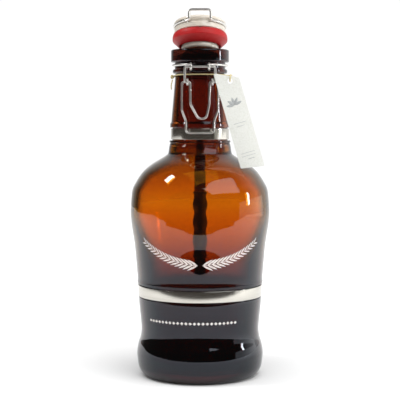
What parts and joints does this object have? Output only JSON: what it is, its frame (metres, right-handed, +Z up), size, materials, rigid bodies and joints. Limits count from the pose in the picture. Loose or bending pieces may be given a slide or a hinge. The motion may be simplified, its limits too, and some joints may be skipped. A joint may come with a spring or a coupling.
{
  "type": "growler",
  "caption": "Brown glass growler with a wire lever closure, porcelain stopper with a red gasket, steel bands, a back handle with a black grip, and a white hang tag on a cord.",
  "frame": {"origin": "on the surface that the bottle stands on, below the middle of the whole object with its handle", "axes": "+Z up along the bottle's axis, -Y the front with the closure's lever, +Y the back with the handle, +X the right-hand side seen from the front"},
  "size_m": [0.1312, 0.1716, 0.3439],
  "materials": {
    "brown_glass": "smooth blown amber-brown glass",
    "steel_strip": "rolled stainless strip",
    "bright_wire": "bright drawn stainless wire",
    "black_plastic": "satin moulded black",
    "porcelain": "opaque white glazed porcelain",
    "red_rubber": "smooth moulded red rubber",
    "white_card": "uncoated white card",
    "cream_cord": "twisted cream cord"
  },
  "bodies": {
    "bottle_body": {"bottle": "brown_glass", "neck_ring": "bright_wire", "neck_band": "steel_strip", "neck_rivet_left": "steel_strip", "neck_rivet_right": "steel_strip", "body_band": "steel_strip", "body_rivet_left": "steel_strip", "body_rivet_right": "steel_strip", "handle_strap": "steel_strip", "grip": "black_plastic", "tag_cord": "cream_cord", "cord_tail": "cream_cord", "cord_knot": "cream_cord"},
    "stopper": {"lid": "porcelain", "gasket": "red_rubber", "lid_wire": "bright_wire"},
    "lever": {"lever": "bright_wire"},
    "bail": {"bail": "bright_wire"},
    "tag": {"hang_tag": "white_card"}
  },
  "joints": [
    {"name": "lid_hinge", "type": "hinge", "parent": "bottle_body", "child": "stopper", "pos_m": [0, 0.0133, 0.2928], "axis": [-1, 0, 0], "range_deg": [-13.3, 110]},
    {"name": "lever_pivot", "type": "hinge", "parent": "bottle_body", "child": "lever", "pos_m": [0, -0.0512, 0.2899], "axis": [-1, 0, 0], "range_deg": [0, 175], "deforming": ["hang_tag"]},
    {"name": "bail_pivot", "type": "hinge", "parent": "lever", "child": "bail", "pos_m": [0, -0.0484, 0.276], "axis": [-1, 0, 0], "range_deg": [0, 180], "deforming": ["hang_tag"]},
    {"name": "tag_swing", "type": "hinge", "parent": "bottle_body", "child": "tag", "pos_m": [0.0274, -0.052, 0.2766], "axis": [-0.9106, 0, 0.4133], "range_deg": [0, 60], "deforming": ["tag_cord"]}
  ]
}
